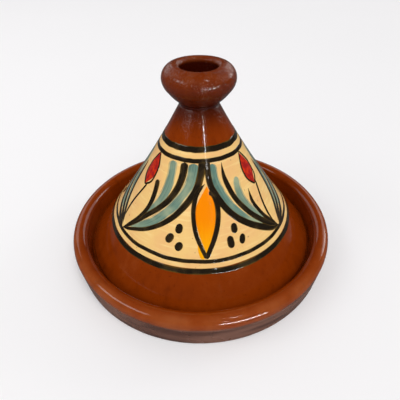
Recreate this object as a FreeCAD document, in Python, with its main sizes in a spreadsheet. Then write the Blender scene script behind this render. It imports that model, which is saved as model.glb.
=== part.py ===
import FreeCAD, Part
import os

import Sketcher

# A small glazed terracotta tagine: a shallow dish, a conical lid that sits inside its rim, and
# the cup-shaped knob that is luted on top of the lid. All three are thrown on the wheel, so each
# is a half outline turned about the vertical axis. Millimetres, +Z up, with the origin at the
# middle of the foot that the dish stands on.

doc = FreeCAD.newDocument("tagine")

# Driving dimensions. Radii are from the axis and heights are from the table.
dimensions = {
    "dish_radius": 80.0,        # the widest line of the rim
    "dish_height": 20.6,        # top of the rim
    "rim_roll": 4.3,            # radius of the rounded rim
    "foot_radius": 78.3,        # where the outer wall meets the foot's rounded edge
    "foot_round": 1.6,
    "wall_foot_radius": 69.6,   # inner wall at the ledge
    "ledge_height": 8.3,        # flat ledge that the lid rests on
    "ledge_inner_radius": 60.5,
    "floor_radius": 50.0,       # flat part of the bowl's floor
    "floor_height": 4.4,
    "bowl_flank": 16.0,         # radius of the curve from the ledge to the floor
    "lid_radius": 69.0,         # the lid's lower edge, just inside the rim
    "lid_nose": 1.5,            # rounding of the lid's lower edge
    "lid_inner_radius": 62.4,
    "cone_sweep": 458.0,        # radius of the cone's hollow-sided outline
    "neck_radius": 10.4,
    "neck_height": 94.3,        # where the knob is joined
    "cavity_sweep": 440.0,
    "cavity_top_radius": 8.2,
    "cavity_top_height": 84.5,
    "crown_radius": 3.4,        # small flat at the very top of the hollow
    "crown_height": 88.6,
    "crown_round": 6.4,
    "knob_foot_radius": 10.2,
    "knob_neck_radius": 9.9,    # top of the knob's short foot, its narrowest place
    "knob_neck_height": 95.3,
    "knob_underside": 24.0,     # radius of the bowl's underside
    "knob_flare_radius": 16.4,  # where the underside turns into the bowl's belly
    "knob_flare_height": 101.9,
    "knob_belly": 9.3,
    "knob_radius": 18.9,
    "knob_height": 114.7,
    "lip_outer_roll": 6.9,
    "lip_inner_roll": 2.3,
    "cup_floor_height": 98.4,
    "cup_floor_round": 5.0,     # between the cup's straight bore and its floor
}

sheet = doc.addObject("Spreadsheet::Sheet", "dims")
for row, (name, size) in enumerate(dimensions.items(), start=1):
    sheet.set(f"A{row}", name)
    sheet.set(f"B{row}", str(size))
    sheet.setAlias(f"B{row}", name)
doc.recompute()


def vector(point):
    return FreeCAD.Vector(point[0], point[1], 0)


def arc_between(start, end, radius, bulge):
    # The shorter arc from start to end. A positive bulge lies to the right of that direction.
    a = vector(start)
    b = vector(end)
    chord = b - a
    half = chord.Length / 2
    depth = radius - (radius * radius - half * half) ** 0.5
    side = FreeCAD.Vector(chord.y, -chord.x, 0).normalize()
    middle = (a + b) * 0.5 + side * (depth * bulge)
    return Part.Arc(a, middle, b)


def end_at(sketch, piece, point):
    # Which end of a line or arc lies at point: 1 is its start and 2 its end.
    gaps = {end: (sketch.getPoint(piece, end) - vector(point)).Length for end in (1, 2)}
    return min(gaps, key=gaps.get)


def place_corner(sketch, piece, end, corner, name):
    # Ties one corner of the outline to the sheet: across from the axis, and up from the table.
    across, up = corner
    if across == "0":
        sketch.addConstraint(Sketcher.Constraint("PointOnObject", piece, end, -2))
    else:
        size = float(sketch.evalExpression(across))
        index = sketch.addConstraint(Sketcher.Constraint("DistanceX", -1, 1, piece, end, size))
        sketch.renameConstraint(index, name + "_across")
        sketch.setExpression(f"Constraints.{name}_across", across)
    if up == "0":
        sketch.addConstraint(Sketcher.Constraint("PointOnObject", piece, end, -1))
    else:
        size = float(sketch.evalExpression(up))
        index = sketch.addConstraint(Sketcher.Constraint("DistanceY", -1, 1, piece, end, size))
        sketch.renameConstraint(index, name + "_up")
        sketch.setExpression(f"Constraints.{name}_up", up)


def turned_body(label, corners, runs):
    # A body turned from a closed half outline. corners holds each corner's name, place across
    # and place up, and runs says how each goes on to the next: None for a straight line, or the
    # arc's radius and the side that it bulges to.
    body = doc.addObject("PartDesign::Body", label)
    body.Label = label
    plane = [f for f in body.Origin.OriginFeatures if f.Role == "XZ_Plane"][0]
    sketch = body.newObject("Sketcher::SketchObject", label + "_outline")
    sketch.AttachmentSupport = [(plane, "")]
    sketch.MapMode = "FlatFace"
    points = [
        (float(sketch.evalExpression(across)), float(sketch.evalExpression(up)))
        for _, across, up in corners
    ]
    following = points[1:] + points[:1]
    pieces = []
    for start, end, run in zip(points, following, runs):
        if run is None:
            shape = Part.LineSegment(vector(start), vector(end))
        else:
            shape = arc_between(start, end, float(sketch.evalExpression(run[0])), run[1])
        pieces.append(sketch.addGeometry(shape, False))
    for this, nxt, corner in zip(pieces, pieces[1:] + pieces[:1], following):
        first = end_at(sketch, this, corner)
        second = end_at(sketch, nxt, corner)
        sketch.addConstraint(Sketcher.Constraint("Coincident", this, first, nxt, second))
    for piece, point, (name, across, up) in zip(pieces, points, corners):
        place_corner(sketch, piece, end_at(sketch, piece, point), (across, up), name)
    for piece, run, (name, _, _) in zip(pieces, runs, corners):
        if run is not None:
            size = float(sketch.evalExpression(run[0]))
            index = sketch.addConstraint(Sketcher.Constraint("Radius", piece, size))
            sketch.renameConstraint(index, name + "_curve")
            sketch.setExpression(f"Constraints.{name}_curve", run[0])
    turn = body.newObject("PartDesign::Revolution", label + "_turned")
    turn.Profile = (sketch, [""])
    turn.ReferenceAxis = (sketch, ["V_Axis"])
    turn.Angle = 360.0
    body.Tip = turn
    return body


# The dish: a flat foot, a low outer wall, a thick rolled rim, and inside it a ledge for the lid
# round a shallow bowl.
base_dish = turned_body(
    "base_dish",
    [
        ("foot_middle", "0", "0"),
        ("foot_edge", "dims.foot_radius - dims.foot_round", "0"),
        ("wall_bottom", "dims.foot_radius", "dims.foot_round"),
        ("rim_outside", "dims.dish_radius", "dims.dish_height - dims.rim_roll"),
        ("rim_top", "dims.dish_radius - dims.rim_roll", "dims.dish_height"),
        ("rim_inside", "dims.dish_radius - 2 * dims.rim_roll", "dims.dish_height - dims.rim_roll"),
        ("ledge_outside", "dims.wall_foot_radius", "dims.ledge_height"),
        ("ledge_inside", "dims.ledge_inner_radius", "dims.ledge_height"),
        ("floor_edge", "dims.floor_radius", "dims.floor_height"),
        ("floor_middle", "0", "dims.floor_height"),
    ],
    [
        None,
        ("dims.foot_round", 1),
        None,
        ("dims.rim_roll", 1),
        ("dims.rim_roll", 1),
        None,
        None,
        ("dims.bowl_flank", -1),
        None,
        None,
    ],
)

# The lid: a hollow cone with slightly hollow sides and a closed top, standing on the ledge.
lid_cone = turned_body(
    "lid_cone",
    [
        ("edge_inside", "dims.lid_inner_radius", "dims.ledge_height"),
        ("edge_bottom", "dims.lid_radius - dims.lid_nose", "dims.ledge_height"),
        ("edge_outside", "dims.lid_radius", "dims.ledge_height + dims.lid_nose"),
        ("neck_edge", "dims.neck_radius", "dims.neck_height"),
        ("neck_middle", "0", "dims.neck_height"),
        ("crown", "0", "dims.crown_height"),
        ("crown_edge", "dims.crown_radius", "dims.crown_height"),
        ("cavity_top", "dims.cavity_top_radius", "dims.cavity_top_height"),
    ],
    [
        None,
        ("dims.lid_nose", 1),
        ("dims.cone_sweep", -1),
        None,
        None,
        None,
        ("dims.crown_round", -1),
        ("dims.cavity_sweep", 1),
    ],
)

# The knob: a small cup with a thick round lip, standing on the cone's flat top.
lid_knob = turned_body(
    "lid_knob",
    [
        ("foot_middle", "0", "dims.neck_height"),
        ("foot_edge", "dims.knob_foot_radius", "dims.neck_height"),
        ("neck_top", "dims.knob_neck_radius", "dims.knob_neck_height"),
        ("flare_top", "dims.knob_flare_radius", "dims.knob_flare_height"),
        ("lip_outside", "dims.knob_radius", "dims.knob_height - dims.lip_outer_roll"),
        ("lip_top", "dims.knob_radius - dims.lip_outer_roll", "dims.knob_height"),
        (
            "lip_inside",
            "dims.knob_radius - dims.lip_outer_roll - dims.lip_inner_roll",
            "dims.knob_height - dims.lip_inner_roll",
        ),
        (
            "bore_bottom",
            "dims.knob_radius - dims.lip_outer_roll - dims.lip_inner_roll",
            "dims.cup_floor_height + dims.cup_floor_round",
        ),
        (
            "cup_floor_edge",
            "dims.knob_radius - dims.lip_outer_roll - dims.lip_inner_roll - dims.cup_floor_round",
            "dims.cup_floor_height",
        ),
        ("cup_floor", "0", "dims.cup_floor_height"),
    ],
    [
        None,
        None,
        ("dims.knob_underside", 1),
        ("dims.knob_belly", 1),
        ("dims.lip_outer_roll", 1),
        ("dims.lip_inner_roll", 1),
        None,
        ("dims.cup_floor_round", -1),
        None,
        None,
    ],
)

parts = [base_dish, lid_cone, lid_knob]
doc.recompute()

# Nothing is written unless every object came out whole.
for item in doc.Objects:
    if "Invalid" in item.State or "Error" in item.State:
        raise RuntimeError(f"{item.Label} failed: {item.State}")
for part in parts:
    part.Placement = FreeCAD.Placement()
    if part.Shape.isNull() or not part.Shape.isValid():
        raise RuntimeError(f"{part.Label} has no valid shape")
    if len(part.Shape.Solids) != 1:
        raise RuntimeError(f"{part.Label} isn't one solid")

os.makedirs("parts", exist_ok=True)
for part in parts:
    part.Shape.exportStep(f"parts/{part.Label}.step")
    box = part.Shape.BoundBox
    print(
        f"{part.Label}: {part.Shape.Volume / 1000:.1f} cm3, radius {box.XMax:.2f}, "
        f"height {box.ZMin:.2f} to {box.ZMax:.2f}"
    )
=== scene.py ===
import math
import random

import bpy
from mathutils import Matrix, Vector


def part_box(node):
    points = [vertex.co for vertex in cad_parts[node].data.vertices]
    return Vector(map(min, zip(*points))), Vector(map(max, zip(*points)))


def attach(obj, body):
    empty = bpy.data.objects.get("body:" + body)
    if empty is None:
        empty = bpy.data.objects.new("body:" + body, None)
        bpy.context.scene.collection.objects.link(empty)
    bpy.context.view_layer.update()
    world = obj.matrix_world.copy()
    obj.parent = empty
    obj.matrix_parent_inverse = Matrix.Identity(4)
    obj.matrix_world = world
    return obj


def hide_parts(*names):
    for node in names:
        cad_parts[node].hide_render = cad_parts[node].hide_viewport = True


# a tagine pot: the dish, lid and knob are turned on a wheel, the lid is painted, and a pale
# studio is set round them. In the dictionaries, lengths are millimetres and angles degrees, but
# for those that say otherwise
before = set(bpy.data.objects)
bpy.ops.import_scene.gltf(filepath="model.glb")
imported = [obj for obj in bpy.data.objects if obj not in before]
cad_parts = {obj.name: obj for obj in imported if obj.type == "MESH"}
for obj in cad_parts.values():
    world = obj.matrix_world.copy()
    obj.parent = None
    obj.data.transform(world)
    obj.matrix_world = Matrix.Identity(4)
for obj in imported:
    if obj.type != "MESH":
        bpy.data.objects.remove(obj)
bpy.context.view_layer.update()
mm = 0.001

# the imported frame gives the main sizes, and the rest of the pot is worked out from them
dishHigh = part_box("base_dish")[1]
lidLow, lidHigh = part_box("lid_cone")
knobLow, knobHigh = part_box("lid_knob")
print("frame loaded:", len(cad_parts), "nodes")


# a node's output, with operators that add Math nodes to its tree
class Wire:
    def __init__(self, graph, socket):
        self.graph = graph
        self.socket = socket

    def math(self, operation, *others):
        return self.graph.add("ShaderNodeMath", {"operation": operation}, [self, *others])

    def __add__(self, other):
        return self.math("ADD", other)

    def __radd__(self, other):
        return self.math("ADD", other)

    def __sub__(self, other):
        return self.math("SUBTRACT", other)

    def __rsub__(self, other):
        return self.graph.add("ShaderNodeMath", {"operation": "SUBTRACT"}, [other, self])

    def __mul__(self, other):
        return self.math("MULTIPLY", other)

    def __rmul__(self, other):
        return self.math("MULTIPLY", other)

    def __truediv__(self, other):
        return self.math("DIVIDE", other)

    def __gt__(self, other):
        return self.math("GREATER_THAN", other)

    def __abs__(self):
        return self.math("ABSOLUTE")

    def smooth(self, low, high):
        # 0 below low, 1 above high and a soft step between
        settings = {"interpolation_type": "SMOOTHSTEP"}
        values = {"Value": self, "From Min": low, "From Max": high, "To Min": 0.0, "To Max": 1.0}
        return self.graph.add("ShaderNodeMapRange", settings, values)


class Graph:
    def __init__(self, tree):
        self.tree = tree

    def add(self, kind, settings=None, values=None, output=0):
        node = self.tree.nodes.new(kind)
        for name, value in (settings or {}).items():
            setattr(node, name, value)
        pairs = values.items() if isinstance(values, dict) else enumerate(values or [])
        for key, value in pairs:
            if isinstance(value, Wire):
                self.tree.links.new(value.socket, node.inputs[key])
            else:
                node.inputs[key].default_value = value
        return Wire(self, node.outputs[output])

    def split(self, vector):
        first = self.add("ShaderNodeSeparateXYZ", values=[vector])
        return [Wire(self, first.socket.node.outputs[axis]) for axis in range(3)]

    def join(self, x, y, z):
        return self.add("ShaderNodeCombineXYZ", values=[x, y, z])

    def vector(self, operation, *values, **named):
        # vector maths; dot products and lengths come out of the second output
        output = 1 if operation in ("DOT_PRODUCT", "LENGTH") else 0
        sockets = {**dict(enumerate(values)), **named}
        return self.add("ShaderNodeVectorMath", {"operation": operation}, sockets, output)

    def noise(self, vector, scale, detail=2.0, rough=0.5):
        return self.add("ShaderNodeTexNoise", values={
            "Vector": vector, "Scale": scale, "Detail": detail, "Roughness": rough,
        })

    def mix(self, factor, first, second):
        # for colours, which are the third kind of input that the node has
        return self.add("ShaderNodeMix", {"data_type": "RGBA"}, {0: factor, 6: first, 7: second}, 2)


def colour(red, green, blue):
    # a colour as it looks on a screen, 0 to 255, turned into the linear one that a shader wants
    def linear(value):
        share = value / 255
        return share / 12.92 if share <= 0.04045 else ((share + 0.055) / 1.055) ** 2.4

    return (linear(red), linear(green), linear(blue), 1.0)


# a geometry tree with named inputs, and its inputs by name
def newTree(name, sockets):
    tree = bpy.data.node_groups.new(name, "GeometryNodeTree")
    tree.is_modifier = True
    tree.interface.new_socket("Geometry", in_out="INPUT", socket_type="NodeSocketGeometry")
    for label, kind in sockets:
        tree.interface.new_socket(label, in_out="INPUT", socket_type="NodeSocket" + kind)
    tree.interface.new_socket("Geometry", in_out="OUTPUT", socket_type="NodeSocketGeometry")
    graph = Graph(tree)
    node = graph.add("NodeGroupInput").socket.node
    return graph, {socket.name: Wire(graph, socket) for socket in node.outputs if socket.name}


def endTree(graph, geometry, material):
    realized = graph.add("GeometryNodeRealizeInstances", values=[geometry])
    painted = graph.add("GeometryNodeSetMaterial", values={"Geometry": realized, "Material": material})
    graph.tree.links.new(painted.socket, graph.tree.nodes.new("NodeGroupOutput").inputs[0])
    return graph.tree


def shaped(source, tree, sizes, name):
    # runs a tree on source with the given inputs and keeps the result as a plain mesh
    modifier = source.modifiers.new(tree.name, "NODES")
    modifier.node_group = tree
    inputs = [item for item in tree.interface.items_tree if item.in_out == "INPUT"]
    identifiers = {item.name: item.identifier for item in inputs}
    for label, value in sizes.items():
        modifier[identifiers[label]] = value
    bpy.context.view_layer.update()
    depsgraph = bpy.context.evaluated_depsgraph_get()
    mesh = bpy.data.meshes.new_from_object(source.evaluated_get(depsgraph), depsgraph=depsgraph)
    mesh.name = name
    source.modifiers.remove(modifier)
    piece = bpy.data.objects.new(name, mesh)
    bpy.context.scene.collection.objects.link(piece)
    bpy.data.objects.remove(source)
    return piece


def polyCurve(name, runs, closed=False):
    # a curve object with one poly spline for each run of (x, y, z, radius) points
    data = bpy.data.curves.new(name, "CURVE")
    data.dimensions = "3D"
    for run in runs:
        spline = data.splines.new("POLY")
        spline.points.add(len(run) - 1)
        spline.use_cyclic_u = closed
        for point, (x, y, z, radius) in zip(spline.points, run):
            point.co = (x, y, z, 1.0)
            point.radius = radius
    holder = bpy.data.objects.new(name, data)
    bpy.context.scene.collection.objects.link(holder)
    return holder


# half outlines are in millimetres, from the axis and above the table
def bow(start, end, radius, bulge, steps):
    # points of the shorter arc from start to end, which bulges to the right for a bulge of 1
    a = Vector(start)
    b = Vector(end)
    chord = b - a
    side = Vector((chord.y, -chord.x)).normalized() * bulge
    reach = math.sqrt(max(radius * radius - chord.length_squared / 4, 0.0))
    centre = (a + b) / 2 - side * reach
    first = math.atan2(a.y - centre.y, a.x - centre.x)
    turn = math.atan2(b.y - centre.y, b.x - centre.x) - first
    turn = (turn + math.pi) % (2 * math.pi) - math.pi
    angles = [first + turn * step / steps for step in range(steps + 1)]
    return [
        (centre.x + radius * math.cos(angle), centre.y + radius * math.sin(angle)) for angle in angles
    ]


def softCorner(before, corner, after, radius, steps=6):
    # the corner of a bent line, rounded off with an arc of about that radius
    here = Vector(corner)
    back = (Vector(before) - here).normalized()
    ahead = (Vector(after) - here).normalized()
    half = back.angle(ahead) / 2
    cut = radius / math.tan(half)
    start = here + back * cut
    end = here + ahead * cut
    bulge = -1 if back.x * ahead.y - back.y * ahead.x > 0 else 1
    return bow(start, end, radius, bulge, steps)


def straight(start, end, step):
    # points between two ends, both left out
    a = Vector(start)
    b = Vector(end)
    count = max(1, round((b - a).length / step))
    return [tuple(a.lerp(b, index / count)) for index in range(1, count)]


def joined(*stretches):
    # one outline from its stretches, with no point given twice
    nearest = 0.02
    line = []
    for stretch in stretches:
        for point in stretch:
            if not line or (Vector(point) - Vector(line[-1])).length > nearest:
                line.append(point)
    return line


throwing = {
    "oval": 0.001,          # share of the radius
    "leanRise": 14.0,       # the height that a lean takes to come in
    "leanCalm": (2.0, 9.0),     # a lean and the ridges fade out towards the axis, between these
    "ridgeCalm": (1.0, 9.0),
    "ridgeSlope": 0.7,      # a ridge rises as it widens
    "ridgeDrift": 12.0,     # how fast a ridge changes on its way round
    "pressScale": 55.0,     # broad dents between the ridges
    "pressShare": 0.5,
    "footCalm": 1.5,        # the foot stays flat up to this height
    "seam": 0.01,           # points closer than this become one
}


# the wheel turns a half outline about the upright axis, with the soft unevenness of
# thrown clay along it
def wheelTree():
    graph, inputs = newTree("turnOnWheel", [
        ("Segments", "Int"), ("Ridge Depth", "Float"), ("Ridge Spacing", "Float"), ("Oval", "Float"),
        ("Lean", "Float"), ("Lean From", "Float"), ("Seed", "Float"), ("Material", "Material"),
    ])
    outline = inputs["Geometry"]
    rows = graph.add("GeometryNodeAttributeDomainSize", {"component": "CURVE"}, [outline])
    grid = graph.add("GeometryNodeMeshGrid", values={
        "Size X": 1.0, "Size Y": 1.0, "Vertices X": inputs["Segments"] + 1.0, "Vertices Y": rows,
    })
    index = graph.add("GeometryNodeInputIndex")
    column = (index / rows).math("FLOOR")
    row = index - column * rows
    position = graph.add("GeometryNodeInputPosition")
    onOutline = graph.add(
        "GeometryNodeSampleIndex", {"data_type": "FLOAT_VECTOR", "domain": "POINT"},
        {"Geometry": outline, "Value": position, "Index": row},
    )
    across, _, up = graph.split(onOutline)
    angle = column / inputs["Segments"] * (2 * math.pi)
    sine = angle.math("SINE")
    cosine = angle.math("COSINE")
    oval = 1.0 - inputs["Oval"] * ((angle * 2.0 + inputs["Seed"]).math("SINE") * 0.5 + 0.5)
    # the mouth of a hand-set piece dips a little towards the front
    front = (cosine + 1.0) * 0.5
    rising = up.smooth(inputs["Lean From"], inputs["Lean From"] + throwing["leanRise"] * mm)
    calm = across.smooth(throwing["leanCalm"][0] * mm, throwing["leanCalm"][1] * mm)
    dipped = up - inputs["Lean"] * front * front * rising * calm
    place = graph.join(across * oval * sine, across * oval * cosine * -1.0, dipped)
    turned = graph.add("GeometryNodeSetPosition", values={"Geometry": grid, "Position": place})
    closed = graph.add("GeometryNodeMergeByDistance", values={
        "Geometry": turned, "Distance": throwing["seam"] * mm,
    })
    where = graph.add("GeometryNodeInputPosition")
    # ridges left by the fingers run round the pot and fade out at its middle
    x, y, z = graph.split(where)
    radius = (x * x + y * y).math("SQRT")
    drift = throwing["ridgeDrift"]
    upAndOut = (radius + z * throwing["ridgeSlope"]) / inputs["Ridge Spacing"]
    ridgeAt = graph.join(upAndOut, x * drift + inputs["Seed"], y * drift)
    ridge = graph.noise(ridgeAt, 1.0, detail=1.0) - 0.5
    seeded = graph.vector("ADD", where, inputs["Seed"])
    press = graph.noise(seeded, throwing["pressScale"], detail=1.0) - 0.5
    fade = radius.smooth(throwing["ridgeCalm"][0] * mm, throwing["ridgeCalm"][1] * mm)
    foot = z.smooth(0.0, throwing["footCalm"] * mm)
    push = (ridge + press * throwing["pressShare"]) * inputs["Ridge Depth"] * fade * foot
    normal = graph.add("GeometryNodeInputNormal")
    offset = graph.vector("SCALE", normal, Scale=push)
    pressed = graph.add("GeometryNodeSetPosition", values={"Geometry": closed, "Offset": offset})
    smooth = graph.add("GeometryNodeSetShadeSmooth", values=[pressed])
    return endTree(graph, smooth, inputs["Material"])


brushing = {
    "rayFrom": 0.1,         # metres out from the axis
    "rayLength": 0.2,
    "shakeScale": 70.0,
    "squareness": 2.6,      # how steeply the paint's edge comes up
    "layers": 12,           # strokes that cross are laid at slightly different heights
    "layer": 0.002,
    "crease": 0.9,          # radians; sharper edges than this stay sharp
    "sink": 0.03,           # how far the paint goes below the glaze
    "shake": 0.7,           # how far a stroke strays from its chart
}


# strokes come in as flat runs of angle and height, are laid on the lid by
# casting a ray at it, and get a thin flat body of paint
def brushTree():
    graph, inputs = newTree("brushOnLid", [
        ("Lid", "Object"), ("Lift", "Float"), ("Sink", "Float"), ("Bristles", "Int"),
        ("Shake", "Float"), ("Seed", "Float"), ("Closed", "Bool"), ("Material", "Material"),
    ])
    lidSkin = graph.add("GeometryNodeObjectInfo", values={"Object": inputs["Lid"]}, output="Geometry")

    def cast(angle, height, output):
        sine = angle.math("SINE")
        cosine = angle.math("COSINE")
        start = graph.join(sine * brushing["rayFrom"], cosine * -brushing["rayFrom"], height)
        toAxis = graph.join(sine * -1.0, cosine, 0.0)
        return graph.add("GeometryNodeRaycast", values={
            "Target Geometry": lidSkin, "Source Position": start, "Ray Direction": toAxis,
            "Ray Length": brushing["rayLength"],
        }, output=output)

    # from the flat chart to the lid: x is the angle, a degree to the millimetre, and y the height
    chart = graph.add("GeometryNodeInputPosition")
    shake = graph.vector("SUBTRACT", graph.add("ShaderNodeTexNoise", values={
        "Vector": graph.vector("ADD", chart, inputs["Seed"]), "Scale": brushing["shakeScale"],
        "Detail": 1.0,
    }, output="Color"), (0.5, 0.5, 0.5))
    shaken = graph.vector("ADD", chart, graph.vector("SCALE", shake, Scale=inputs["Shake"]))
    degrees, height, _ = graph.split(shaken)
    angle = degrees * (math.radians(1.0) / mm)
    laid = graph.add("GeometryNodeSetPosition", values={
        "Geometry": inputs["Geometry"], "Position": cast(angle, height, "Hit Position"),
    })
    ringed = graph.add("GeometryNodeSetSplineCyclic", values={
        "Geometry": laid, "Cyclic": inputs["Closed"],
    })

    def keep(geometry, name, value, kind="FLOAT_VECTOR"):
        settings = {"data_type": kind, "domain": "POINT"}
        values = {"Geometry": geometry, "Name": name, "Value": value}
        return graph.add("GeometryNodeStoreNamedAttribute", settings, values)

    def read(name, kind="FLOAT_VECTOR"):
        return graph.add("GeometryNodeInputNamedAttribute", {"data_type": kind}, {"Name": name})

    here = graph.add("GeometryNodeInputPosition")
    hereX, hereY, hereZ = graph.split(here)
    hereAngle = hereX.math("ARCTAN2", hereY * -1.0)
    kept = keep(ringed, "strokeMiddle", here)
    kept = keep(kept, "strokeNormal", cast(hereAngle, hereZ, "Hit Normal"))
    kept = keep(kept, "strokeWay", graph.add("GeometryNodeInputTangent"))
    kept = keep(kept, "strokeWidth", graph.add("GeometryNodeInputRadius"), "FLOAT")
    kept = keep(kept, "along", graph.add("GeometryNodeSplineParameter", output=1), "FLOAT")
    perStroke = {"domain": "CURVE", "data_type": "FLOAT"}
    number = graph.add("GeometryNodeFieldOnDomain", perStroke, [graph.add("GeometryNodeInputIndex")])
    kept = keep(kept, "strokeNumber", number, "FLOAT")
    circle = graph.add("GeometryNodeCurvePrimitiveCircle", values={
        "Resolution": inputs["Bristles"], "Radius": 1.0,
    })
    tube = graph.add("GeometryNodeCurveToMesh", values={
        "Curve": kept, "Profile Curve": circle, "Scale": graph.add("GeometryNodeInputRadius"),
        "Fill Caps": True,
    })
    middle = read("strokeMiddle")
    normal = read("strokeNormal")
    width = read("strokeWidth", "FLOAT")
    # the tube is pressed flat: a place on it goes to the skin below or above it
    away = graph.vector("SUBTRACT", graph.add("GeometryNodeInputPosition"), middle)
    sideways = graph.vector("NORMALIZE", graph.vector("CROSS_PRODUCT", read("strokeWay"), normal))
    across = graph.vector("DOT_PRODUCT", away, sideways)
    upward = graph.vector("DOT_PRODUCT", away, normal) / width
    flat = graph.vector("ADD", middle, graph.vector("SCALE", sideways, Scale=across))
    flatX, flatY, flatZ = graph.split(flat)
    flatAngle = flatX.math("ARCTAN2", flatY * -1.0)
    tube = keep(tube, "across", across / width, "FLOAT")
    tube = keep(tube, "upward", upward, "FLOAT")
    tube = keep(tube, "layAngle", flatAngle, "FLOAT")
    tube = keep(tube, "layHeight", flatZ, "FLOAT")
    skinAngle = read("layAngle", "FLOAT")
    skinHeight = read("layHeight", "FLOAT")
    rise = (read("upward", "FLOAT") * brushing["squareness"]).math("MINIMUM", 1.0).math("MAXIMUM", -1.0)
    layer = read("strokeNumber", "FLOAT").math("MODULO", brushing["layers"])
    lift = inputs["Lift"] + layer * (brushing["layer"] * mm)
    thick = (lift + inputs["Sink"]) * rise - inputs["Sink"]
    skin = cast(skinAngle, skinHeight, "Hit Position")
    out = graph.vector("SCALE", cast(skinAngle, skinHeight, "Hit Normal"), Scale=thick)
    painted = graph.add("GeometryNodeSetPosition", values={
        "Geometry": tube, "Position": graph.vector("ADD", skin, out),
    })
    spent = [
        "strokeMiddle", "strokeNormal", "strokeWay", "strokeWidth", "upward", "layAngle", "layHeight",
    ]
    for name in spent:
        painted = graph.add("GeometryNodeRemoveAttribute", values={"Geometry": painted, "Name": name})
    smooth = graph.add("GeometryNodeSetShadeSmooth", values=[painted])
    bend = graph.add("GeometryNodeInputMeshEdgeAngle")
    settings = {"data_type": "BOOLEAN", "domain": "EDGE"}
    creased = graph.add("GeometryNodeStoreNamedAttribute", settings, {
        "Geometry": smooth, "Name": "sharp_edge", "Value": bend > brushing["crease"],
    })
    return endTree(graph, creased, inputs["Material"])


def newMaterial(name):
    material = bpy.data.materials.new(name)
    material.use_nodes = True
    material.node_tree.nodes.clear()
    return material, Graph(material.node_tree)


def glazed(graph, base, roughness, normal):
    # a coloured body under its clear glaze
    shader = graph.add("ShaderNodeBsdfPrincipled", values={
        "Base Color": base, "Roughness": roughness, "Normal": normal, "Specular IOR Level": 0.5,
    })
    graph.tree.links.new(shader.socket, graph.tree.nodes.new("ShaderNodeOutputMaterial").inputs[0])


glaze = {
    "shine": 0.04,          # roughness where it is glassy, and how much is added where it isn't
    "dulling": 0.05,
    "relief": 0.12,
    "clayDeep": colour(80, 24, 1),
    "clay": colour(130, 49, 3),
    "clayLight": colour(160, 78, 32),
    # clay under thin glaze; on the dish's rim it is also a painted reflection
    "clayThinAndSheen": colour(160, 88, 46),
    # the darkest clay: painted shade in the creases and the cup, and a darker tone on the knob
    "clayDarkAndShade": colour(58, 10, 2),
    # the dish's wall: its own duller, less glazed colour, partly a painted reflection of the pale
    # surroundings
    "wall": colour(128, 88, 72),
    "wallDark": colour(86, 52, 40),
    "cream": colour(243, 201, 127),
    "creamPink": colour(240, 190, 124),
    "creamPale": colour(249, 215, 146),
    "fleck": colour(150, 96, 50),
    "black": colour(32, 25, 16),
    "blackWash": colour(60, 48, 30),
    "blackThin": colour(104, 78, 26),
    "teal": colour(100, 136, 124),
    "tealDeep": colour(62, 102, 98),
    "tealPale": colour(158, 170, 138),
    "orange": colour(250, 138, 0),
    "orangeBurnt": colour(226, 112, 2),
    "yellow": colour(252, 172, 8),
    "red": colour(160, 30, 30),
    "redOrange": colour(212, 54, 20),
}


def glazeShine(graph, place):
    # runs from glassy to slightly dull in soft patches
    patch = graph.noise(place, 70.0)
    return patch.smooth(0.35, 0.70) * glaze["dulling"] + glaze["shine"]


def glazeBump(graph, place, strength=0.35, pitting=0.12):
    # orange peel, fine pits and slow swells in the glaze
    peel = graph.noise(place, 420.0)
    pits = graph.noise(place, 1100.0).smooth(0.46, 0.66)
    swell = graph.noise(place, 90.0, detail=1.0)
    height = peel * 0.45 + swell * 0.9 - pits * pitting
    return graph.add("ShaderNodeBump", values={
        "Strength": strength, "Distance": glaze["relief"] * mm, "Height": height,
    })


def clayColour(graph, place):
    # cloudy, with streaks that run down the pot and a few dark specks
    cloud = graph.noise(place, 38.0, detail=4.0, rough=0.6)
    streak = graph.noise(graph.vector("MULTIPLY", place, (260.0, 260.0, 30.0)), 1.0, detail=3.0)
    speck = graph.noise(place, 900.0, detail=1.0).smooth(0.66, 0.74)
    body = graph.mix((cloud * 0.6 + streak * 0.4).smooth(0.16, 0.52), glaze["clayDeep"], glaze["clay"])
    body = graph.mix((cloud * 0.5 + streak * 0.5).smooth(0.50, 0.80) * 0.35, body, glaze["clayLight"])
    return graph.mix(speck * 0.3, body, glaze["clayDeep"])


def creamColour(graph, place):
    # slip brushed on while the lid turns, so its streaks run round
    cloud = graph.noise(place, 60.0, detail=3.0, rough=0.6)
    brushed = graph.noise(graph.vector("MULTIPLY", place, (60.0, 60.0, 700.0)), 1.0, detail=2.0)
    body = graph.mix(cloud.smooth(0.35, 0.65), glaze["cream"], glaze["creamPink"])
    body = graph.mix(brushed.smooth(0.50, 0.72) * 0.7, body, glaze["creamPale"])
    speck = graph.noise(place, 620.0, detail=1.0).smooth(0.735, 0.76)
    return graph.mix(speck * 0.6, body, glaze["fleck"])


dish = {
    "rimRoll": 4.3,
    "footInset": 1.7,       # how far the foot stands in from the rim's widest line
    "footRound": 1.6,
    "ledgeIn": 60.5,
    "wallFoot": 69.6,
    "floorRadius": 50.0,
    "floorHeight": 4.4,
    "flank": 16.0,
    "segments": 256,
    "ridgeDepth": 0.10,
    "ridgeSpacing": 5.0,
    "lean": 0.0,
    "seed": 3.0,
    "thinAndSheenRim": (-2.0, 2.5),     # the glaze thins, and a painted reflection lightens it, between these distances from the rim's middle
    "glazeRun": 2.4,        # how unevenly it ends
    "dullBelow": (2.6, 0.6),    # the dull wall starts between these depths under the rim's side
    "wallDulling": 0.22,
}


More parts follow.
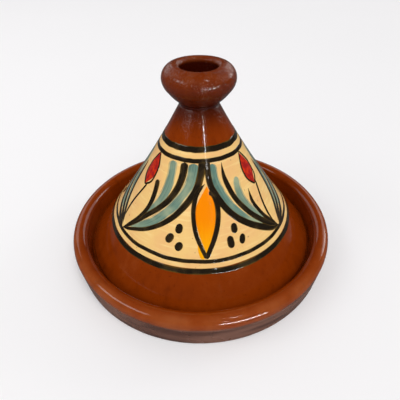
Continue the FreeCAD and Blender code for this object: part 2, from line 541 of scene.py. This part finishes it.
def dishOutline():
    radius = dishHigh.x / mm
    height = dishHigh.z / mm
    roll = dish["rimRoll"]
    ledge = lidLow.z / mm
    foot = radius - dish["footInset"]
    footRound = dish["footRound"]
    wallTop = (radius, height - roll)
    wallIn = (radius - 2 * roll, height - roll)
    corner = (dish["wallFoot"], ledge)
    ledgeIn = (dish["ledgeIn"], ledge)
    floor = (dish["floorRadius"], dish["floorHeight"])
    return joined(
        [(0.0, 0.0)],
        straight((0.0, 0.0), (foot - footRound, 0.0), 6.0),
        bow((foot - footRound, 0.0), (foot, footRound), footRound, 1, 6),
        straight((foot, footRound), wallTop, 1.0),
        bow(wallTop, (radius - roll, height), roll, 1, 14),
        bow((radius - roll, height), wallIn, roll, 1, 14),
        straight(wallIn, corner, 1.0)[:-1],
        softCorner(wallIn, corner, ledgeIn, 1.0),
        straight(corner, ledgeIn, 1.5)[1:-1],
        softCorner(corner, ledgeIn, floor, 0.8, 4),
        bow(ledgeIn, floor, dish["flank"], -1, 12)[2:],
        straight(floor, (0.0, dish["floorHeight"]), 2.5),
        [(0.0, dish["floorHeight"])],
    )


def dishGlaze(rimMiddle, rimHeight):
    # the glaze has run thin over the rim's outer half, which also carries a painted reflection, and the
    # wall below it is dull, its greyish colour partly a painted reflection of the pale surroundings
    material, graph = newMaterial("dishGlaze")
    place = graph.add("ShaderNodeTexCoord", output="Object")
    x, y, z = graph.split(place)
    radius = (x * x + y * y).math("SQRT")
    fromMiddle, toOuter = dish["thinAndSheenRim"]
    outer = radius.smooth(rimMiddle + fromMiddle * mm, rimMiddle + toOuter * mm)
    blotch = graph.noise(place, 55.0, detail=3.0)
    # thin glaze and a painted reflection lighten the rim's outer half
    thin = outer * (blotch.smooth(0.30, 0.70) * 0.45 + 0.15)
    body = graph.mix(thin, clayColour(graph, place), glaze["clayThinAndSheen"])
    run = (blotch - 0.5) * (dish["glazeRun"] * mm)
    wallTop, glazeFoot = dish["dullBelow"]
    below = (1.0 - (z + run).smooth(rimHeight - wallTop * mm, rimHeight - glazeFoot * mm)) * outer
    smudge = graph.noise(graph.vector("MULTIPLY", place, (30.0, 30.0, 200.0)), 1.0, detail=3.0)
    # the greyish wall is partly a painted reflection of the pale surroundings
    wall = graph.mix(smudge.smooth(0.35, 0.65), glaze["wallDark"], glaze["wall"])
    roughness = glazeShine(graph, place) + below * dish["wallDulling"]
    glazed(graph, graph.mix(below, body, wall), roughness, glazeBump(graph, place))
    return material


lid = {
    "nose": 1.5,
    "wall": 6.6,            # thickness of the lower edge
    "sweep": 458.0,
    "sag": 9.0,             # about what that sweep takes off a straight cone's radius, times four
    "neck": 10.4,
    "cavitySweep": 440.0,
    "cavityTop": 8.2,
    "cavityHeight": 84.5,
    "crown": 3.4,
    "crownHeight": 88.6,
    "crownRound": 6.4,
    "bandLow": 27.9,        # the cream slip's lower and upper edge, at the black rings
    "bandHigh": 77.4,
    "bandEdge": 0.2,
    "waver": 0.5,
    "innerSlope": 0.52,     # between the hollow's slope and the outside's, so the slip stays outside
    "crease": 13.0,         # how far below the knob the painted shade reaches
    "segments": 256,
    "ridgeDepth": 0.12,
    "ridgeSpacing": 6.0,
    "lean": 0.0,
    "seed": 8.0,
}


def lidOutline():
    radius = lidHigh.x / mm
    low = lidLow.z / mm
    top = lidHigh.z / mm
    nose = lid["nose"]
    inside = (radius - lid["wall"], low)
    edge = (radius, low + nose)
    neck = (lid["neck"], top)
    cavityTop = (lid["cavityTop"], lid["cavityHeight"])
    crownEdge = (lid["crown"], lid["crownHeight"])
    return joined(
        [(0.0, lid["crownHeight"])],
        bow(crownEdge, cavityTop, lid["crownRound"], -1, 8),
        bow(cavityTop, inside, lid["cavitySweep"], 1, 60),
        straight(inside, (radius - nose, low), 1.0),
        bow((radius - nose, low), edge, nose, 1, 6),
        bow(edge, neck, lid["sweep"], -1, 130),
        straight(neck, (0.0, top), 2.0),
        [(0.0, top)],
    )


def lidGlaze(bandLow, bandHigh):
    # clay glaze with the band of cream slip, and painted shade darkening the clay under the knob
    material, graph = newMaterial("lidGlaze")
    place = graph.add("ShaderNodeTexCoord", output="Object")
    x, y, z = graph.split(place)
    radius = (x * x + y * y).math("SQRT")
    waver = (graph.noise(place, 45.0, detail=1.0) - 0.5) * (lid["waver"] * mm)
    height = z + waver
    outside = (radius - (lidHigh.z - z) * lid["innerSlope"]).smooth(0.0, 1.0 * mm)
    edge = lid["bandEdge"] * mm
    band = height.smooth(bandLow, bandLow + edge) * (1.0 - height.smooth(bandHigh, bandHigh + edge))
    body = graph.mix(band * outside, clayColour(graph, place), creamColour(graph, place))
    crease = z.smooth(lidHigh.z - lid["crease"] * mm, lidHigh.z)
    # painted shade: the clay darkens towards the knob, where the crease lies in shadow
    body = graph.mix(crease * 0.8, body, glaze["clayDarkAndShade"])
    glazed(graph, body, glazeShine(graph, place), glazeBump(graph, place, 0.5, crease * 1.2 + 0.15))
    return material


knob = {
    "foot": 10.2,
    "neck": 10.1,
    "neckHeight": 1.0,
    "lean": 1.2,            # how far the lip dips at the front
    "underside": 24.0,
    "flare": 16.4,
    "flareHeight": 7.6,
    "belly": 9.3,
    "outerRoll": 6.9,
    "innerRoll": 2.3,
    "cupDepth": 16.3,
    "cupRound": 5.0,
    "segments": 192,
    "ridgeDepth": 0.08,
    "ridgeSpacing": 4.0,
    "seed": 5.0,
    "thinLip": (8.0, 2.0),      # the glaze thins between these depths under the lip's top
    "crease": (2.0, 18.0),      # the painted shade of the neck fades out between these heights
    "darkWithin": (-0.2, 1.2),  # the painted shade in the cup starts between these distances from the bore
    "darkBelow": (3.2, 1.2),    # and between these depths under the lip's top
}


def knobOutline():
    low = knobLow.z / mm
    top = knobHigh.z / mm
    radius = knobHigh.x / mm
    foot = (knob["foot"], low)
    neck = (knob["neck"], low + knob["neckHeight"])
    flare = (knob["flare"], low + knob["flareHeight"])
    outer = knob["outerRoll"]
    inner = knob["innerRoll"]
    lipOut = (radius, top - outer)
    lipTop = (radius - outer, top)
    bore = radius - outer - inner
    floor = top - knob["cupDepth"]
    return joined(
        [(0.0, low)],
        straight((0.0, low), foot, 2.0),
        [foot],
        softCorner(foot, neck, flare, 1.6, 6),
        bow(neck, flare, knob["underside"], 1, 10)[2:],
        bow(flare, lipOut, knob["belly"], 1, 14),
        bow(lipOut, lipTop, outer, 1, 16),
        bow(lipTop, (bore, top - inner), inner, 1, 12),
        straight((bore, top - inner), (bore, floor + knob["cupRound"]), 0.8),
        bow((bore, floor + knob["cupRound"]), (bore - knob["cupRound"], floor), knob["cupRound"], -1, 8),
        straight((bore - knob["cupRound"], floor), (0.0, floor), 1.2),
        [(0.0, floor)],
    )


def knobGlaze(bore, neck, top):
    # thin glaze on the lip, a darker tone over the whole knob, and painted shade in the crease at the
    # neck and down the cup
    material, graph = newMaterial("knobGlaze")
    place = graph.add("ShaderNodeTexCoord", output="Object")
    x, y, z = graph.split(place)
    radius = (x * x + y * y).math("SQRT")
    blotch = graph.noise(place, 160.0, detail=3.0)
    lipLow, lipHigh = knob["thinLip"]
    lip = z.smooth(top - lipLow * mm, top - lipHigh * mm) * blotch.smooth(0.30, 0.70)
    body = graph.mix(lip * 0.25, clayColour(graph, place), glaze["clayThinAndSheen"])
    creaseLow, creaseHigh = knob["crease"]
    crease = 1.0 - z.smooth(neck + creaseLow * mm, neck + creaseHigh * mm)
    # painted shade at the neck and underside, over a darker tone of the whole knob
    body = graph.mix(crease * 0.60 + 0.32, body, glaze["clayDarkAndShade"])
    wallIn, wallOut = knob["darkWithin"]
    cupLow, cupHigh = knob["darkBelow"]
    # painted shade down the bore of the cup
    within = 1.0 - radius.smooth(bore + wallIn * mm, bore + wallOut * mm)
    inside = within * (1.0 - z.smooth(top - cupLow * mm, top - cupHigh * mm))
    body = graph.mix(inside, body, glaze["clayDarkAndShade"])
    glazed(graph, body, glazeShine(graph, place), glazeBump(graph, place, 0.7, 1.3))
    return material


def thrown(name, outline, sizes, material):
    run = [(across * mm, 0.0, up * mm, 1.0) for across, up in outline]
    return shaped(polyCurve(name + "Outline", [run]), wheel, {
        "Segments": sizes["segments"], "Ridge Depth": sizes["ridgeDepth"] * mm,
        "Ridge Spacing": sizes["ridgeSpacing"] * mm, "Oval": throwing["oval"],
        "Lean": sizes["lean"] * mm, "Lean From": knobLow.z, "Seed": sizes["seed"], "Material": material,
    }, name)


wheel = wheelTree()
rimRoll = dish["rimRoll"] * mm
knobBore = knobHigh.x - (knob["outerRoll"] + knob["innerRoll"]) * mm
dishMaterial = dishGlaze(dishHigh.x - rimRoll, dishHigh.z - rimRoll)
dishBody = thrown("dishBody", dishOutline(), dish, dishMaterial)
lidMaterial = lidGlaze(lid["bandLow"] * mm, lid["bandHigh"] * mm)
lidBody = thrown("lidBody", lidOutline(), lid, lidMaterial)
knobMaterial = knobGlaze(knobBore, knobLow.z, knobHigh.z)
knobBody = thrown("knobBody", knobOutline(), knob, knobMaterial)
pots = [dishBody, lidBody, knobBody]
print("dish, lid and knob turned:", [len(piece.data.polygons) for piece in pots])


def sweep(width, ends, *path):
    # one stroke of the brush: its width where it starts and where it ends, how long its two ends
    # take to come up to that, and its path as angles from its fan's axis, in degrees, and heights
    return {"width": width, "ends": ends, "path": path}


# a wing is the strokes that fan out to one side of a bud, here in three sorts
fullWing = {
    "black": [
        sweep(
            (1.7, 4.5), (6, 1), (1, 31.4), (12.6, 35.5), (22.6, 39.1), (31.6, 43.2), (40.4, 48.1),
            (49.4, 54.2), (57, 60.2), (61.5, 66.5), (65, 72.5),
        ),
        sweep(
            (2.2, 4.2), (8, 1.6), (1, 31.5), (9.4, 37.8), (17.6, 44.4), (25.4, 49.2), (32.6, 54.3),
            (38.6, 60.0), (41.6, 66.0), (41.6, 71.4),
        ),
        sweep(
            (1.9, 3.6), (6, 1.5), (1, 31.7), (6, 36.0), (11, 41.0), (15, 46.5), (16.5, 51.0),
            (16, 56.0), (14, 60.4),
        ),
    ],
    "teal": [
        sweep(
            (5.6, 6.6), (9, 2), (7, 34.8), (19.4, 39.9), (27.8, 45.2), (36, 50.6), (43, 55.9),
            (49, 61.0), (52.6, 66.4), (54, 71.6),
        ),
        sweep(
            (4.2, 5.8), (6, 2.2), (9, 37.6), (14, 42.0), (18.5, 46.3), (23, 50.8), (26.3, 55.4),
            (28.2, 60.4), (28, 66.0), (25.8, 71.2),
        ),
    ],
}
boldWing = {
    "black": [
        sweep(
            (4.2, 3.1), (7, 1), (0.5, 31.3), (9.2, 34.2), (18.4, 38.2), (27, 42.7), (34.8, 47.3),
            (41.2, 52.1), (46.6, 57.5), (50.3, 61.6), (51.8, 66.2), (52, 72.5),
        ),
        sweep(
            (3.7, 2.6), (6, 10), (1.5, 31.9), (10, 37.2), (17, 42.3), (23, 47.6), (29.2, 53.8),
            (33, 59.5), (35, 65.0), (34, 70.8),
        ),
        sweep(
            (2.9, 2.0), (5, 6), (2, 32.4), (4.5, 34.8), (9, 39.4), (12.5, 44.6), (14.5, 49.8),
            (12.8, 55.2),
        ),
    ],
    "teal": [
        sweep(
            (5.2, 4.6), (8, 2), (11, 36.2), (21.8, 41.6), (28.8, 46.0), (34.5, 50.5), (39.3, 55.3),
            (43.4, 60.4), (46, 65.2), (46.6, 71.0),
        ),
        sweep(
            (4.2, 5.4), (7, 2.2), (5, 34.4), (9.6, 37.8), (14.2, 42.0), (19.2, 47.4), (23, 52.5),
            (24, 57.6), (21.2, 62.8),
        ),
    ],
}
sideWing = {
    "black": [
        sweep(
            (2.6, 3.8), (7, 1), (0, 31.2), (12, 33.4), (24, 37.4), (35, 43.4), (44, 50.8),
            (51, 59.2), (56, 66.6), (58.5, 72.5),
        ),
        sweep(
            (2.6, 3.4), (8, 8), (1, 32.0), (12, 36.8), (22, 42.6), (31, 50.4), (37, 59.2),
            (40, 70.4),
        ),
        sweep(
            (2.2, 3.0), (6, 6), (1, 32.6), (6, 36.6), (12, 41.8), (17.5, 48.8), (20, 56.0),
            (20.4, 62.5),
        ),
    ],
    "teal": [
        sweep(
            (4.4, 5.6), (8, 2.2), (13, 35.4), (24, 40.6), (34, 48.0), (42, 56.4), (48, 65.6),
            (50, 71.0),
        ),
        sweep((4.2, 5.6), (7, 2.2), (8, 36.6), (17, 44.6), (25, 53.6), (29, 62.6), (30, 69.6)),
    ],
}
# where each fan stands round the lid, and its left and right wing with how far it is stretched
fans = [
    {"axis": -61.0, "left": (sideWing, 1.0), "right": (fullWing, 1.0)},
    {"axis": 61.0, "left": (boldWing, 1.0), "right": (sideWing, 1.0)},
    {"axis": 180.0, "left": (boldWing, 1.13), "right": (fullWing, 0.91)},
]
bud = {
    "stem": sweep((1.7, 1.4), (6, 1), (-3.6, 34.6), (-4.8, 40.0), (-3.2, 47.0), (2, 55.4)),
    "leaf": sweep((10.4, 9.6), (8, 10), (-0.6, 54.8), (-0.8, 62.6), (-0.6, 70.8)),
    "sides": [
        sweep((1.2, 1.0), (1, 3), (-0.6, 54.6), (-7.4, 58.6), (-9, 62.2), (-7.6, 66.2), (-1, 71.6)),
        sweep(
            (1.3, 1.1), (1, 3), (-0.6, 54.6), (6.4, 57.6), (8.2, 61.8), (7.2, 66.2), (-0.4, 71.6),
        ),
    ],
}
almond = {
    "yellow": (33.0, 50.0),     # it turns from yellow to orange between these heights
    "fill": sweep(
        (12.2, 13.2), (21, 15), (3.2, 33.2), (3.3, 41.6), (3.8, 47.4), (4.3, 53.0), (5.2, 57.6),
        (6, 61.8),
    ),
    "smear": sweep((2.2, 3.2), (5, 1.5), (-1.8, 38.4), (-0.3, 34.8), (1.5, 31.6)),
    "sides": [
        sweep(
            (2.2, 2.8), (1, 6), (3, 31.6), (-0.8, 37.4), (-3.9, 42.8), (-5.6, 48.6), (-5.5, 54.0),
            (-3, 59.0), (4.6, 62.6),
        ),
        sweep(
            (2.4, 3.1), (2, 1.6), (3.2, 31.6), (4.8, 34.4), (8.5, 39.2), (11.7, 44.4), (13.5, 49.8),
            (13.6, 54.8), (11.2, 58.3), (7.6, 58.4),
        ),
    ],
}
# angle, height, width, half length and lean of each dab of black
dabs = [
    (-15.4, 43.4, 4.0, 2.1, 0.4), (-21.1, 38.6, 4.2, 1.9, 1.6), (-13.8, 36.3, 4.2, 1.7, 1.3),
    (23.7, 42.4, 3.7, 2.2, 0.3), (19.1, 37.2, 3.9, 2.6, 0.0), (27.5, 36.8, 3.5, 2.0, 1.2),
]
rings = [
    {"height": 77.5, "width": 3.3},
    {"height": 72.6, "width": 2.4},
    {"height": 30.7, "width": 2.1},
    {"height": 26.7, "width": 3.0},
]
tents = [0.0, 120.5, -120.5]    # where the tents stand, each with its almond and dabs


def coneRadius(height):
    # how far from the axis the lid's outside is, close enough for a stroke's length
    share = (height - lidLow.z / mm) / (lidHigh.z / mm - lidLow.z / mm)
    return lidHigh.x / mm * (1 - share) + lid["neck"] * share - lid["sag"] * share * (1 - share)


def blend(before, start, end, after, t):
    # a smooth value between start and end that heads on from before and towards after
    bend = 2 * before - 5 * start + 4 * end - after
    twist = 3 * start - before - 3 * end + after
    return 0.5 * (2 * start + (end - before) * t + bend * t * t + twist * t ** 3)


def throughPoints(path, spans=10):
    # a smooth line through a few points
    points = [path[0], *path, path[-1]]
    line = []
    for four in zip(points, points[1:], points[2:], points[3:]):
        for step in range(spans):
            line.append(tuple(blend(*values, step / spans) for values in zip(*four)))
    return [*line, path[-1]]


def taper(gone, length):
    # long ends run out to a point, short ones are round
    roundEnd = 4.0
    share = min(1.0, gone / length)
    return math.sin(share * math.pi / 2) if length > roundEnd else math.sqrt(1 - (1 - share) ** 2)


def brushRun(stroke, axis, side, dice, stretch=1.0):
    # one stroke as chart points with the brush's half width at each
    thinnest = 0.12
    turn = dice.uniform(-0.3, 0.3)
    shift = dice.uniform(-0.15, 0.15)
    line = throughPoints([(angle * stretch, height) for angle, height in stroke["path"]])
    travelled = [0.0]
    for (angleA, heightA), (angleB, heightB) in zip(line, line[1:]):
        wide = math.radians(angleB - angleA) * coneRadius((heightA + heightB) / 2)
        travelled.append(travelled[-1] + math.hypot(wide, heightB - heightA))
    total = travelled[-1]
    press = dice.uniform(0.97, 1.03)
    first, last = stroke["width"]
    fromStart, toEnd = stroke["ends"]
    run = []
    for (angle, height), gone in zip(line, travelled):
        wide = first + (last - first) * gone / total
        half = wide / 2 * press * taper(gone, fromStart) * taper(total - gone, toEnd)
        onChart = (axis + side * (angle + turn)) * mm, (height + shift) * mm
        run.append((*onChart, 0.0, max(half, thinnest) * mm))
    return run


def decorate():
    # every stroke on the lid, by the paint it is made with
    dice = random.Random(21)
    runs = {"black": [], "teal": [], "orange": [], "red": []}
    for fan in fans:
        for side, (wing, stretch) in ((-1, fan["left"]), (1, fan["right"])):
            for paint, strokes in wing.items():
                runs[paint] += [brushRun(stroke, fan["axis"], side, dice, stretch) for stroke in strokes]
        runs["red"].append(brushRun(bud["leaf"], fan["axis"], 1, dice))
        budLines = [bud["stem"], *bud["sides"]]
        runs["black"] += [brushRun(stroke, fan["axis"], 1, dice) for stroke in budLines]
    for tent in tents:
        runs["orange"] += [brushRun(almond[part], tent, 1, dice) for part in ("fill", "smear")]
        runs["black"] += [brushRun(stroke, tent, 1, dice) for stroke in almond["sides"]]
        for angle, height, width, reach, lean in dabs:
            path = [(angle - lean, height - reach), (angle, height), (angle + lean, height + reach)]
            dab = sweep((width * 1.1, width * 0.9), (2.0, 1.6), *path)
            runs["black"].append(brushRun(dab, tent, 1, dice))
    return runs


def ringRuns():
    # a point for every degree round the lid
    return [
        [(turn * mm, ring["height"] * mm, 0.0, ring["width"] / 2 * mm) for turn in range(-180, 180)]
        for ring in rings
    ]


def painted(name, runs, material, lift, closed=False, bristles=16):
    return shaped(polyCurve(name + "Chart", runs), brush, {
        "Lid": lidBody, "Lift": lift * mm, "Sink": brushing["sink"] * mm, "Bristles": bristles,
        "Shake": brushing["shake"] * mm, "Seed": 4.0 + lift, "Closed": closed, "Material": material,
    }, name)


def strokeSockets(graph):
    # what the brush left on each stroke: across it from -1 to 1, how far along it, and its number
    across = graph.add("ShaderNodeAttribute", {"attribute_name": "across"}, output="Fac")
    along = graph.add("ShaderNodeAttribute", {"attribute_name": "along"}, output="Fac")
    number = graph.add("ShaderNodeAttribute", {"attribute_name": "strokeNumber"}, output="Fac")
    place = graph.add("ShaderNodeTexCoord", output="Object")
    # bristle marks: fine across the stroke and long down it
    bristle = graph.noise(graph.join(across * 5.0, along * 60.0, number * 7.0), 1.0, detail=3.0)
    return across, along, number, place, bristle


def blackPaint():
    # dense in the middle of a stroke, brown where the brush ran dry and olive at its edges
    material, graph = newMaterial("blackPaint")
    across, along, number, place, bristle = strokeSockets(graph)
    patch = graph.noise(place, 130.0, detail=2.0)
    dry = (patch + (bristle - 0.5) * 0.6).smooth(0.45, 0.75)
    body = graph.mix(dry * 0.8, glaze["black"], glaze["blackWash"])
    thin = (abs(across) + (bristle - 0.5) * 0.9 + (patch - 0.5) * 0.8).smooth(0.62, 1.15)
    body = graph.mix(thin * 0.9, body, glaze["blackThin"])
    glazed(graph, body, glazeShine(graph, place), glazeBump(graph, place))
    return material


def tealPaint():
    # streaky, deeper down one side, and washed out where a stroke starts and along its edges
    material, graph = newMaterial("tealPaint")
    across, along, number, place, bristle = strokeSockets(graph)
    pool = graph.noise(place, 110.0, detail=2.0)
    body = graph.mix((bristle + across * 0.12).smooth(0.36, 0.62), glaze["tealDeep"], glaze["teal"])
    start = 1.0 - along.smooth(2.0 * mm, 20.0 * mm)
    # some strokes are dipped in weaker paint than others
    weak = graph.noise(graph.join(number * 3.7, 0.0, 0.0), 1.0).smooth(0.40, 0.62)
    washed = start * 0.4 + pool.smooth(0.48, 0.72) * 0.6 + weak * 0.4
    body = graph.mix(washed.math("MINIMUM", 1.0), body, glaze["tealPale"])
    fade = (abs(across) + (bristle - 0.5) * 1.3 + (pool - 0.5) * 0.6).smooth(0.62, 1.08)
    body = graph.mix(fade, body, creamColour(graph, place))
    glazed(graph, body, glazeShine(graph, place), glazeBump(graph, place))
    return material


def almondPaint(low, high):
    # yellower towards the almond's foot
    material, graph = newMaterial("almondPaint")
    across, along, number, place, bristle = strokeSockets(graph)
    height = graph.split(place)[2] + (bristle - 0.5) * (9.0 * mm)
    body = graph.mix(height.smooth(low, high), glaze["yellow"], glaze["orange"])
    edge = (abs(across) + (bristle - 0.5) * 0.5).smooth(0.70, 1.1)
    body = graph.mix(edge * 0.5, body, glaze["orangeBurnt"])
    glazed(graph, body, glazeShine(graph, place), glazeBump(graph, place))
    return material


def budPaint():
    # crimson, with the orange under it showing through in flecks
    material, graph = newMaterial("budPaint")
    across, along, number, place, bristle = strokeSockets(graph)
    fleck = graph.noise(place, 380.0, detail=2.0)
    body = graph.mix((fleck * 0.6 + bristle * 0.4).smooth(0.42, 0.62), glaze["red"], glaze["redOrange"])
    glazed(graph, body, glazeShine(graph, place), glazeBump(graph, place))
    return material


brush = brushTree()
runs = decorate()
yellow = [height * mm for height in almond["yellow"]]
blackGlaze = blackPaint()
strokes = [
    painted("tealStrokes", runs["teal"], tealPaint(), lift=0.05),
    painted("orangeAlmonds", runs["orange"], almondPaint(*yellow), lift=0.05, bristles=28),
    painted("redBuds", runs["red"], budPaint(), lift=0.05, bristles=28),
    painted("blackStrokes", runs["black"], blackGlaze, lift=0.09),
    painted("blackRings", ringRuns(), blackGlaze, lift=0.11, closed=True),
]
print("decoration painted:", {piece.name: len(piece.data.polygons) for piece in strokes})


# distances and sizes here are metres, a sun's strength is W/m2 and a panel's power W
studio = {
    "backdrop": colour(236, 235, 236),
    "ambient": 0.55,        # how strongly the backdrop lights the pot, and how it shows in the glaze
    "reflected": 0.04,
    "floor": ((0.925, 0.918, 0.924, 1.0), (0.94, 0.932, 0.939, 1.0)),
    "floorReach": 6.0,
    "floorShine": 0.15,     # how much of the floor's brightness shows in the glaze
    "key": {"azimuth": 20.0, "elevation": 60.0, "strength": 1.38, "angle": 40.0},
    "right": {"azimuth": 118.0, "elevation": 20.0, "strength": 0.26, "angle": 18.0},
    "spark": {"azimuth": 17.0, "elevation": 31.9, "strength": 0.06, "angle": 1.6},
    "top": {"azimuth": 36.0, "elevation": 62.0, "strength": 0.12, "angle": 4.0},
    "side": {
        "azimuth": -66.0, "elevation": 40.0, "distance": 1.5, "width": 1.0, "height": 0.34, "power": 3.4,
    },
    "backLeft": {
        "azimuth": -142.0, "elevation": 26.0, "distance": 1.5, "width": 1.2, "height": 0.6, "power": 2.2,
    },
    "backRight": {
        "azimuth": 142.0, "elevation": 26.0, "distance": 1.5, "width": 1.2, "height": 0.6, "power": 2.8,
    },
    "low": {
        "azimuth": 28.0, "elevation": 2.6, "distance": 2.0, "width": 1.2, "height": 0.055, "power": 24.0,
    },
}
camera = {
    "height": 160.7,        # above the table
    "distance": 164.9,      # in front of the pot's axis
    "pitch": 36.15,
    "turn": -0.46,
    "tilt": -0.47,
    "lens": 29.83,
    "shiftX": -0.0062,
    "shiftY": -0.034,
}


def toward(azimuth, elevation):
    a = math.radians(azimuth)
    e = math.radians(elevation)
    return Vector((math.sin(a) * math.cos(e), -math.cos(a) * math.cos(e), math.sin(e)))


def hang(name, lamp, distance):
    # hangs a lamp in its own direction, facing the pot
    holder = bpy.data.objects.new(name + "Light", lamp)
    bpy.context.scene.collection.objects.link(holder)
    way = toward(studio[name]["azimuth"], studio[name]["elevation"])
    holder.location = way * distance
    holder.rotation_euler = way.to_track_quat("Z", "Y").to_euler()
    return holder


def sunLamp(name):
    lamp = bpy.data.lights.new(name, "SUN")
    lamp.energy = studio[name]["strength"]
    lamp.angle = math.radians(studio[name]["angle"])
    return hang(name, lamp, 1.0)


def panelLamp(name):
    # a flat softbox that faces the pot
    sizes = studio[name]
    lamp = bpy.data.lights.new(name, "AREA")
    lamp.shape = "RECTANGLE"
    lamp.size = sizes["width"]
    lamp.size_y = sizes["height"]
    lamp.energy = sizes["power"]
    return hang(name, lamp, sizes["distance"])


def studioWorld():
    world = bpy.data.worlds.new("studio")
    world.use_nodes = True
    world.node_tree.nodes.clear()
    graph = Graph(world.node_tree)
    # full strength where it is seen, and less where it lights the pot or is mirrored in it
    seen = graph.add("ShaderNodeLightPath")
    glossy = graph.add("ShaderNodeLightPath", output="Is Glossy Ray")
    strength = seen + (1.0 - seen) * (glossy * studio["reflected"] + (1.0 - glossy) * studio["ambient"])
    sky = graph.add("ShaderNodeBackground", values={"Color": studio["backdrop"], "Strength": strength})
    graph.tree.links.new(sky.socket, graph.tree.nodes.new("ShaderNodeOutputWorld").inputs[0])
    bpy.context.scene.world = world


def pedestal():
    mesh = bpy.data.meshes.new("floor")
    corners = [(across * studio["floorReach"], back * studio["floorReach"], 0.0)
               for across, back in ((-1, -1), (1, -1), (1, 1), (-1, 1))]
    mesh.from_pydata(corners, [], [(0, 1, 2, 3)])
    floor = bpy.data.objects.new("floor", mesh)
    bpy.context.scene.collection.objects.link(floor)
    material, graph = newMaterial("paleFloor")
    place = graph.add("ShaderNodeTexCoord", output="Object")
    shade = graph.mix(graph.noise(place, 3.0), *studio["floor"])
    glossy = graph.add("ShaderNodeLightPath", output="Is Glossy Ray")
    shade = graph.vector("SCALE", shade, Scale=1.0 - glossy * (1.0 - studio["floorShine"]))
    shader = graph.add("ShaderNodeBsdfDiffuse", values={"Color": shade})
    graph.tree.links.new(shader.socket, graph.tree.nodes.new("ShaderNodeOutputMaterial").inputs[0])
    mesh.materials.append(material)


def mainCamera():
    lens = bpy.data.cameras.new("main")
    lens.sensor_width = 36.0
    lens.lens = camera["lens"]
    lens.shift_x = camera["shiftX"]
    lens.shift_y = camera["shiftY"]
    lens.clip_start = 0.01
    holder = bpy.data.objects.new("main", lens)
    bpy.context.scene.collection.objects.link(holder)
    holder.location = (0.0, -camera["distance"] * mm, camera["height"] * mm)
    turned = Matrix.Rotation(math.radians(camera["turn"]), 3, "Z")
    pitched = Matrix.Rotation(math.radians(90 - camera["pitch"]), 3, "X")
    tilted = Matrix.Rotation(math.radians(camera["tilt"]), 3, "Z")
    holder.rotation_euler = (turned @ pitched @ tilted).to_euler()
    bpy.context.scene.camera = holder


# the key is too wide to mirror in the glaze, and three of the panels are only there to be mirrored
sunLamp("key").visible_glossy = False
for lamp in ("right", "spark", "top"):
    sunLamp(lamp)
panelLamp("side")
for lamp in ("backLeft", "backRight", "low"):
    panelLamp(lamp).visible_diffuse = False
studioWorld()
pedestal()
mainCamera()
bpy.context.scene.view_settings.view_transform = "Standard"
print("studio set")


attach(dishBody, "dish")
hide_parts("base_dish")
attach(lidBody, "lid")
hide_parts("lid_cone")
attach(knobBody, "lid")
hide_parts("lid_knob")
for piece in strokes:
    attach(piece, "lid")
